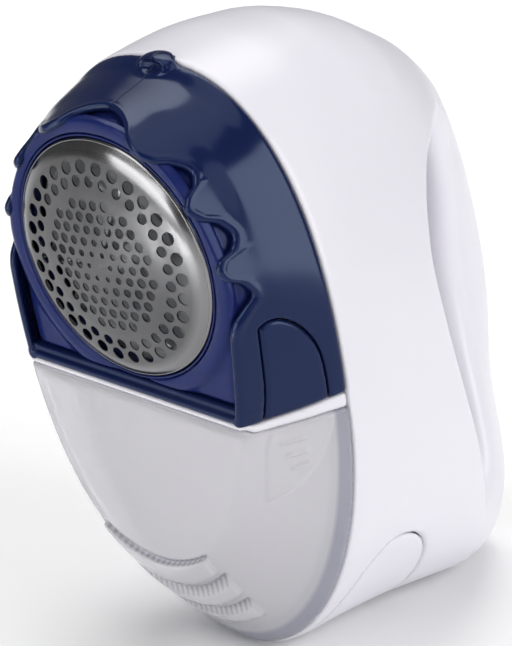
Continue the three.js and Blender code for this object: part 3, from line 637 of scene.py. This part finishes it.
# ---------------------------------------------------------------- white body
def door_arch(shrink):
    """Side view of the battery door in the upright frame: (depth, height above the base)."""
    pts = []
    for a in np.radians(np.linspace(0, 180, 37)):
        half = (19.3 if math.cos(a) > 0 else 11.5) - shrink
        pts.append((-5 + half * math.cos(a), 1 + (29.2 - shrink) * math.sin(a) ** 0.8))
    return [(14.3 - shrink, -30)] + pts + [(-16.5 + shrink, -30)]


def body_pieces():
    """White housing with the finger hole, the battery door in its foot and the panel on its back."""
    g = Grid((-45.5, 19.5, -123), (45.5, 109, 40.5), COARSE)
    full = g.prism_x(smooth_curve(CREASE + AROUND_FRONT, 3))
    front = smax(g.egg(), full, 2.2)
    hole = g.prism_x(smooth_curve(HOLE_FRONT + HOLE_BACK, 4))
    handle = smax(smax(g.egg(core=True), g.y - HANDLE_BACK_Y, 5.0), -hole, 12.0)
    white = smin(front, handle, 0.6)
    up, depth = g.up()
    white = smax(white, -up, 1.6)
    shell = smax(white, -(white + WALL), 0.5)
    arch_y, arch_z = np.broadcast_arrays(depth, up)
    arch = polygon_distance(arch_y[0], arch_z[0], door_arch(0))[None].astype(np.float32)
    # inset panel on the handle's back, held by two screws
    panel = np.sqrt(g.x ** 2 + (g.z - np.clip(g.z, PANEL_FOOT, PANEL_TOP)) ** 2) - PANEL_R
    panel = np.maximum(panel, PANEL_Y - g.y)
    housing = smax(smax(shell, PARTING_Y + 0.1 - g.y, 0.4), -panel, 0.4)
    sy, sz = g.switch()
    slot = np.maximum(np.maximum(np.abs(g.x) - 3.5, np.abs(sz - 3) - 6.2), -8 - sy)
    housing = smax(smax(housing, -arch, 0.4), -slot, 0.6)
    place(surface("main_housing_shell", g, housing), "housing", "white", WHITE, "main_housing")
    door = smax(shell, arch + GAP, 0.4)
    door = smax(door, 0.5 - up, 0.4)
    place(surface("battery_door_shell", g, door), "battery_door", "white", WHITE, "battery_door")
    cover = smax(shell, panel + 0.1, 0.4)
    for z in SCREWS:
        r = np.sqrt(g.x ** 2 + (g.z - z) ** 2)
        boss = smax(smax(r - BOSS_R, BOSS_Y - g.y, 0.5), white + 0.2, 0.5)
        cover = smin(cover, boss, 0.8)
        cover = smax(cover, -np.maximum(r - RECESS_R, RECESS_Y - g.y), 0.6)
        cover = smax(cover, -(r - SCREW_R), 0.3)
    place(surface("handle_cover_shell", g, cover), "housing", "white", WHITE, "handle_rear_cover")


# ---------------------------------------------------------------- bulkhead and head frame
def bulkhead_piece():
    """Wall closing the housing's front, with the shelf that parts head and container."""
    g = Grid((-43.5, -2.6, -109), (43.5, 25, 37.5), FINE * 1.6)
    egg = g.egg()
    up, _ = g.up()
    plate = smax(smax(egg + WALL + 0.5, -(up - WALL - GAP), 0.5), np.abs(g.y - 22.7) - 1.1, 0.5)
    under = -34.2 + LIP_RISE * g.lip()
    over = -32.4 + g.shelf_rise() + 0.7 * g.lip()
    shelf = smax(smax(egg + 0.05, -1.25 - g.y, 0.8), smax(under - g.z, g.z - over, 0.5), 0.5)
    shelf = smax(shelf, g.y - 20.9, 0.3)
    root = smax(smax(np.abs(g.x) - 34, np.abs(g.y - 21.2) - 1.0, 0.4), np.abs(g.z + 33.2) - 1.0, 0.4)
    d = smin(smin(plate, shelf, 0.4), root, 0.4)
    d = smax(d, 5 - np.sqrt(g.x ** 2 + g.z ** 2), 0.4)
    d = smax(d, -np.maximum(g.duct(), np.abs(g.z + 33) - 12), 0.4)
    for side in (-1, 1):
        middle = side * (27.5 - (g.z + 60) * 0.06)
        vent = np.maximum(np.abs(g.x - middle) - 1.3, np.abs(g.z + 60) - 11)
        d = smax(d, -np.maximum(vent, np.abs(g.y - 21.6) - 1.2), 0.5)
    place(surface("bulkhead_panel", g, d), "housing", "white", WHITE, "bulkhead_shelf")


def head_frame_piece():
    """Blue plateau round the foil, open for the foil's ring, the lint duct and the guard's buttons."""
    g = Grid((-41, -1.2, -31), (41, 21.8, 37), FINE * 1.25)
    egg = g.egg(SKIN + 0.35)
    r = np.sqrt(g.x ** 2 + g.z ** 2)
    solid = smax(egg, 0.8 - g.y, 3.4)
    # raised collar of elliptic section round the foil
    collar = (np.sqrt(((r - 30.0) / 2.5) ** 2 + ((g.y - 0.9) / 1.35) ** 2) - 1) * 1.3
    solid = smin(solid, np.maximum(collar, egg - 1.2), 0.9)
    d = smax(solid, -np.maximum(egg + 2, 2.8 - g.y), 0.5)
    d = smax(d, -28.2 - g.z, 0.4)
    d = smax(d, g.y - 20.6, 0.4)
    d = smax(d, -np.maximum(r - 28.25, g.y - 6), 0.3)
    notch = np.maximum(g.prism_x(BUTTON_EDGE) - 0.8, 28 - np.abs(g.x))
    d = smax(d, -notch, 0.4)
    d = smax(d, -np.maximum(g.duct(), g.z + 22), 0.4)
    place(surface("head_plateau", g, d), "housing", "royal", ROYAL, "head_frame")


# ---------------------------------------------------------------- guard and its buttons
def guard_pieces():
    """Scalloped guard and the push button in each of its sides."""
    g = Grid((-43.5, -4.6, -33), (43.5, 25, 40.5), FINE)
    egg = g.egg()
    step = 0.25
    angle_table = np.arange(0, 180.01, step)
    edge_table = cubic(GUARD_EDGE, angle_table, 1)
    slope = np.gradient(edge_table, 33 * math.radians(step))
    angle = np.degrees(np.arctan2(np.abs(g.x), g.z))[:, 0, :]
    edge = np.interp(angle, angle_table, edge_table)[:, None, :].astype(np.float32)
    lean = 1 / np.sqrt(1 + np.interp(angle, angle_table, slope) ** 2)[:, None, :].astype(np.float32)
    ahead = (edge - g.y) * lean
    wall = smax(egg, -(egg + SKIN), 0.5)
    d = smax(wall, ahead, 1.4)
    fade = np.clip((112 - angle) / 8, 0, 1)[:, None, :].astype(np.float32)
    # bead along the scalloped edge, thinner down the sides
    bead = np.sqrt((egg + 0.68) ** 2 + (ahead + 0.7) ** 2) - 0.82 * (0.3 + 0.7 * fade)
    d = smin(d, bead, 0.5)
    # two-step bar below the foil
    low = smax(np.abs(g.y - 0.55) - 1.85, np.abs(g.z + 30.7) - 0.8, 0.5)
    high = smax(np.abs(g.y - 1.1) - 1.4, np.abs(g.z + 29.7) - 1.25, 0.5)
    bar = smax(egg, smin(low, high, 0.2), 0.5)
    d = smin(d, bar, 0.4)
    d = smax(d, g.shelf_rise() - 32.15 - g.z, 0.6)
    d = smax(d, g.y - FRONT_BACK_Y, 0.5)
    # thumb tab at the top with a pocket in front of it
    tab = np.maximum(g.ellipsoid(20.2, 36.6, (4.6, 4.2, 2.3)), np.minimum(g.y - 21.0, 0.35 - egg))
    d = smin(d, tab, 0.8)
    d = smax(d, -g.ellipsoid(16.4, 37.2, (3.9, 2.5, 1.5)), 0.4)
    d = smax(d, -np.maximum(g.prism_x(BUTTON_EDGE) - GAP, SIDE_X - np.abs(g.x)), 0.5)
    place(surface("guard_shell", g, d), "guard", "navy", NAVY, "guard")
    for name, sign in (("left", -1), ("right", 1)):
        inner, outer = sorted((30 * sign, 43 * sign))
        b = Grid((inner, 3, -33), (outer, 19, -7), FINE)
        egg_b = b.egg()
        k = smax(smax(egg_b - 0.12, -(egg_b + SKIN), 0.4), b.prism_x(BUTTON_EDGE), 0.9)
        k = smax(k, b.shelf_rise() - 31.9 - b.z, 0.5)
        place(surface(f"guard_push_{name}", b, k), f"guard_button_{name}", "navy", NAVY, f"guard_button_{name}")


# ---------------------------------------------------------------- lint container
def container_piece():
    """Lint container: a hollow shell with a mouth under the duct, grip pads and grip ledges."""
    g = Grid((-43.5, -3.2, -110), (43.5, 22, -32.2), FINE * 1.25)
    egg = g.egg()
    up, _ = g.up()
    outer = smax(egg, -1.4 - g.y, 1.2)
    # three stepped, notched grip ledges round the nose
    brow = g.z - BROW_Z - BROW_BEND * g.x ** 2
    for y0, y1, half in LEDGES:
        teeth = 0.2 * np.cos(2 * np.pi * g.x / TEETH_PITCH)
        above = brow if y0 < 0 else np.maximum(y0 - g.y, g.z - LEDGE_TOP)
        ledge = smax(outer - 0.8, np.maximum(above, g.y - y1 + teeth), 0.4)
        ledge = smax(ledge, np.abs(g.x) - half, 0.5)
        groove = np.maximum(np.abs(above - 0.5) - 0.45, np.abs(g.x) - half)
        groove = np.maximum(groove, np.maximum(g.y - y1, -0.6 - outer))
        outer = smax(smin(outer, ledge, 0.25), -groove, 0.4)
    pad = smax(smax(egg - 0.6, g.prism_x(smooth_curve(PAD, 3)), 0.5), SIDE_X - np.abs(g.x), 0.5)
    outer = smin(outer, pad, 0.25)
    for z, y0, y1 in PAD_BARS:
        rib = smax(egg - 1.15, np.abs(g.y - (y0 + y1) / 2) - (y1 - y0) / 2, 0.5)
        rib = smax(smax(rib, np.abs(g.z - z) - 0.55, 0.5), SIDE_X - np.abs(g.x), 0.5)
        outer = smin(outer, rib, 0.25)
    inner = smax(egg + SKIN, 0.6 - g.y, 2.0)
    inner = smax(smax(inner, g.z - CONTAINER_TOP + 1.2, 1.0), 0.4 + SKIN - up, 1.5)
    d = smax(outer, -inner, 0.4)
    d = smax(smax(d, g.z - CONTAINER_TOP - LIP_RISE * g.lip(), 0.7), g.y - FRONT_BACK_Y, 0.5)
    d = smax(d, 0.4 - up, 1.0)
    mouth = np.maximum(np.maximum(np.abs(g.x) - 14, 4.5 - g.y), np.abs(g.z + 34) - 4)
    d = smax(d, -mouth, 0.5)
    place(surface("container_shell", g, d), "lint_container", "clear", CLEAR, "lint_container")


# ---------------------------------------------------------------- foil and its ring
def dome(r):
    """Height of the foil in front of its rim plane."""
    return np.interp(r, [0, 7, 14.4, 16.6, 17.0, 18.9, 21.9, 24, 25.6, 26.6, 27.1, 27.4],
                     [5.0, 4.78, 4.0, 3.72, 3.62, 3.2, 2.7, 2.2, 1.5, 0.85, 0.3, -0.3])


FOIL_CUT = 26.9                                   # where the perforated sheet meets its rolled rim
FOIL_T = 0.35
RING_HOLES = ((21.9, 2.2, 1.5), (18.9, 8.1, 1.25))   # circle's radius, first angle, hole's radius
HOLE_PITCH = 3.17


def foil_holes():
    """Holes as (x, z, radius): two circles of thirty and a turned triangular grid inside them."""
    holes = []
    for i in range(30):
        for circle, first, size in RING_HOLES:
            a = math.radians(first + 12 * i)
            holes.append((circle * math.sin(a), circle * math.cos(a), size))
    c, s = math.cos(math.radians(7.3)), math.sin(math.radians(7.3))
    for i in range(-6, 7):
        for j in range(-6, 7):
            u, v = HOLE_PITCH * (i + j / 2), HOLE_PITCH * j * math.sqrt(0.75)
            r = math.hypot(u, v)
            if 1 < r < 15:
                size = 0.62 if r < 4 else 0.8 if r < 6 else 1.0 if r < 10 else 1.15
                holes.append((u * c - v * s, u * s + v * c, size))
    return holes


def foil_piece():
    """Perforated domed sheet and its rolled rim."""
    holes = foil_holes()
    pts, loops = [], []
    for x, z, r, n in [(0, 0, FOIL_CUT, 200)] + [(*hole, 22) for hole in holes]:
        loops.append(list(range(len(pts), len(pts) + n)))
        pts += [(x + r * math.sin(t), z + r * math.cos(t))
                for t in np.linspace(0, 2 * math.pi, n, endpoint=False)]
    # points on circles between the holes, so that the sheet can bend
    hx = np.array(holes)
    spacing = 0.62
    for radius in np.arange(0.0, 26.6, spacing):
        count = max(1, int(2 * math.pi * radius / 0.85))
        for k in range(count):
            t = 2 * math.pi * (k + 0.5 * (int(radius / spacing) % 2)) / count
            x, z = radius * math.sin(t), radius * math.cos(t)
            gap = np.hypot(hx[:, 0] - x, hx[:, 1] - z) - hx[:, 2]
            if gap.min() > 0.22:
                pts.append((x, z))
    edges = [(l[i], l[(i + 1) % len(l)]) for l in loops for i in range(len(l))]
    out = delaunay_2d_cdt([Vector(p) for p in pts], edges, [], 0, 1e-5)
    p2 = np.array([(v.x, v.y) for v in out[0]])
    tri = np.array([f for f in out[2] if len(f) == 3])
    c = p2[tri].mean(1)
    keep = np.ones(len(tri), bool)
    for x, z, r in holes:
        keep &= np.hypot(c[:, 0] - x, c[:, 1] - z) > r * 0.985
    keep &= np.hypot(c[:, 0], c[:, 1]) < FOIL_CUT
    tri = tri[keep]
    a, b, cc = p2[tri[:, 0]], p2[tri[:, 1]], p2[tri[:, 2]]
    area = (b[:, 0] - a[:, 0]) * (cc[:, 1] - a[:, 1]) - (b[:, 1] - a[:, 1]) * (cc[:, 0] - a[:, 0])
    tri[area < 0] = tri[area < 0][:, ::-1]
    rad = np.hypot(p2[:, 0], p2[:, 1])
    emboss = 0.22 * np.exp(-((rad - 2.3) / 0.28) ** 2) + 0.25 * np.exp(-(rad / 0.55) ** 2)
    front = np.stack([p2[:, 0], -(dome(rad) + emboss), p2[:, 1]], 1)
    back = front.copy()
    back[:, 1] += FOIL_T
    n = len(front)
    sides = dict.fromkeys((t[i], t[(i + 1) % 3]) for t in tri for i in range(3))
    border = [e for e in sides if (e[1], e[0]) not in sides]
    faces = [tuple(t) for t in tri] + [tuple(t + n)[::-1] for t in tri]
    faces += [(e[1], e[0], e[0] + n, e[1] + n) for e in border]
    verts = np.concatenate([front, back])
    ob = make_mesh("foil_sheet", verts, faces)
    place(about_head_axis(ob), "foil_head", "foil", FOIL, "foil_screen")
    edge = ob.modifiers.new("split", "EDGE_SPLIT")
    edge.split_angle = math.radians(38)
    rolled = lathe("foil_rim", [(26.85, -0.55), (27.15, -0.4), (27.42, 0.1), (27.5, 0.9), (27.5, 2.0),
                                (27.1, 2.0), (27.1, 1.0), (26.85, 0.1)])
    place(about_head_axis(rolled), "foil_head", "foil", FOIL)


def ring_piece():
    """Slim edge of the ring that holds the foil."""
    profile = [(27.65, 2.4), (27.65, -0.15), (28.1, -0.15), (28.1, 4.9), (26.5, 4.9), (26.5, 2.4)]
    place(lathe("foil_collar", round_path(profile, 0.18)), "foil_head", "royal", ROYAL, "foil_ring")


# ---------------------------------------------------------------- switch button
def switch_piece():
    """Ribbed slide button with its neck through the slot."""
    g = Grid((-7, 96, -22), (7, 110, -5), 0.3)
    sy, sz = g.switch()
    cap = smax(smax(np.abs(g.x) - 4.9, np.abs(sy - 1.3) - 0.8, 0.6), np.abs(sz) - 4.4, 0.6)
    for k in (-3, -1, 1, 3):
        rib = smax(smax(np.abs(g.x) - 4.2, np.abs(sy - 2.0) - 0.5, 0.4), np.abs(sz - k) - 0.4, 0.4)
        cap = smin(cap, rib, 0.3)
    neck = smax(smax(np.abs(g.x) - 2.8, np.abs(sy + 1.8) - 2.8, 0.4), np.abs(sz) - 2.4, 0.4)
    cap = smin(cap, neck, 0.3)
    place(surface("switch_button", g, cap), "power_switch", "switch_navy", NAVY, "switch_slider")


body_pieces()
bulkhead_piece()
head_frame_piece()
guard_pieces()
container_piece()
foil_piece()
ring_piece()
switch_piece()

# ---------------------------------------------------------------- CAD nodes that stay: looks by name
# the first key found in a node's name wins
CAD_LOOK = {"screw": STEEL, "blade_hub": PALE, "blade_spring": STEEL, "blade": BLADE, "shaft": STEEL,
            "motor_mount": WHITE, "motor": CAN, "fan": PALE, "tray": GREY, "battery": CELL, "contact": BRASS,
            "switch_body": GREY, "chamber": PALE, "wire_red": RED, "wire_black": BLACK}
for name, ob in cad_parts.items():
    for key, material in CAD_LOOK.items():
        if key in name:
            ob.data.materials.clear()
            ob.data.materials.append(material)
            for p in ob.data.polygons:
                p.use_smooth = True
            bevel = ob.modifiers.new("bevel", "BEVEL")
            bevel.width = 0.15 * MM
            bevel.segments = 2
            bevel.limit_method = "ANGLE"
            bevel.angle_limit = math.radians(35)
            split = ob.modifiers.new("split", "EDGE_SPLIT")
            split.split_angle = math.radians(35)
            break


# ---------------------------------------------------------------- stage, light and camera
def stage_floor():
    """Pale floor, clear when seen from below."""
    me = bpy.data.meshes.new("floor")
    size = 6.0
    me.from_pydata([(-size, -size, 0), (size, -size, 0), (size, size, 0), (-size, size, 0)], [], [(0, 1, 2, 3)])
    ob = bpy.data.objects.new("floor", me)
    bpy.context.scene.collection.objects.link(ob)
    mat, nt, bsdf, _ = node_material("floor_paper")
    bsdf.inputs["Base Color"].default_value = (0.97, 0.97, 0.97, 1)
    bsdf.inputs["Roughness"].default_value = 0.9
    bsdf.inputs["Specular IOR Level"].default_value = 0.1
    geo = nt.nodes.new("ShaderNodeNewGeometry")
    clear = nt.nodes.new("ShaderNodeBsdfTransparent")
    mix = nt.nodes.new("ShaderNodeMixShader")
    nt.links.new(geo.outputs["Backfacing"], mix.inputs["Fac"])
    nt.links.new(bsdf.outputs["BSDF"], mix.inputs[1])
    nt.links.new(clear.outputs["BSDF"], mix.inputs[2])
    nt.links.new(mix.outputs["Shader"], nt.nodes["Material Output"].inputs["Surface"])
    me.materials.append(mat)


def area(name, at, towards, size, power, spread):
    """Rectangular lamp at a point, aimed at another; metres, watts and degrees."""
    lamp = bpy.data.lights.new(name, "AREA")
    lamp.shape = "RECTANGLE"
    lamp.size, lamp.size_y = size
    lamp.energy = power
    lamp.spread = math.radians(spread)
    ob = bpy.data.objects.new(name, lamp)
    bpy.context.scene.collection.objects.link(ob)
    ob.location = at
    ob.rotation_euler = (Vector(towards) - Vector(at)).to_track_quat("-Z", "Y").to_euler()


CENTRE = (0, 0, 0.075)
LAMPS = [
    ("top", (0.1, -0.1, 1.2), (0, 0, 0), (0.8, 0.8), 1.0, 120),
    ("right", (1.05, -0.4, 0.75), CENTRE, (0.5, 0.9), 1.5, 180),
    ("strip", (1.12, 0.22, 0.5), CENTRE, (0.65, 1.1), 8.6, 180),        # long highlight on the guard's side
    ("front", (-0.25, -0.9, 0.95), CENTRE, (0.6, 0.5), 3.2, 180),
    ("window", (-0.22, -1.08, 0.25), CENTRE, (0.8, 0.5), 4.0, 180),     # highlight on the foil's rim
    ("pool", (0.08, -0.42, 0.5), (-0.03, -0.34, 0), (0.1, 0.1), 0.45, 32),   # lights the floor the foil mirrors
    ("backdrop", (-0.4, 0.45, 0.9), (-0.35, 0.4, 0), (0.8, 0.8), 3.0, 100),
]
stage_floor()
for lamp_settings in LAMPS:
    area(*lamp_settings)
world = bpy.data.worlds.new("studio")
world.use_nodes = True
world.node_tree.nodes["Background"].inputs["Color"].default_value = (1, 1, 1, 1)
world.node_tree.nodes["Background"].inputs["Strength"].default_value = 0.12
bpy.context.scene.world = world
bpy.context.scene.view_settings.view_transform = "Standard"

# the camera stands off the foil's centre by CAMERA_OFFSET and looks against CAMERA_BACK
CAMERA_BACK = (0.6307, -0.6958, 0.3437)
CAMERA_OFFSET = (0.4726, -0.4775, 0.2310)
back = Vector(CAMERA_BACK).normalized()
right = Vector((0, 0, 1)).cross(back).normalized()
upward = back.cross(right)
cam = bpy.data.cameras.new("camera")
cam.lens = 188.0
cam.sensor_width = 36.0
cam.sensor_fit = "AUTO"
cam_ob = bpy.data.objects.new("camera", cam)
bpy.context.scene.collection.objects.link(cam_ob)
m = Matrix((right, upward, back)).transposed().to_4x4()
m.translation = Vector((0, FOIL_Y * MM, FOIL_Z * MM)) + Vector(CAMERA_OFFSET)
cam_ob.matrix_world = m
bpy.context.scene.camera = cam_ob
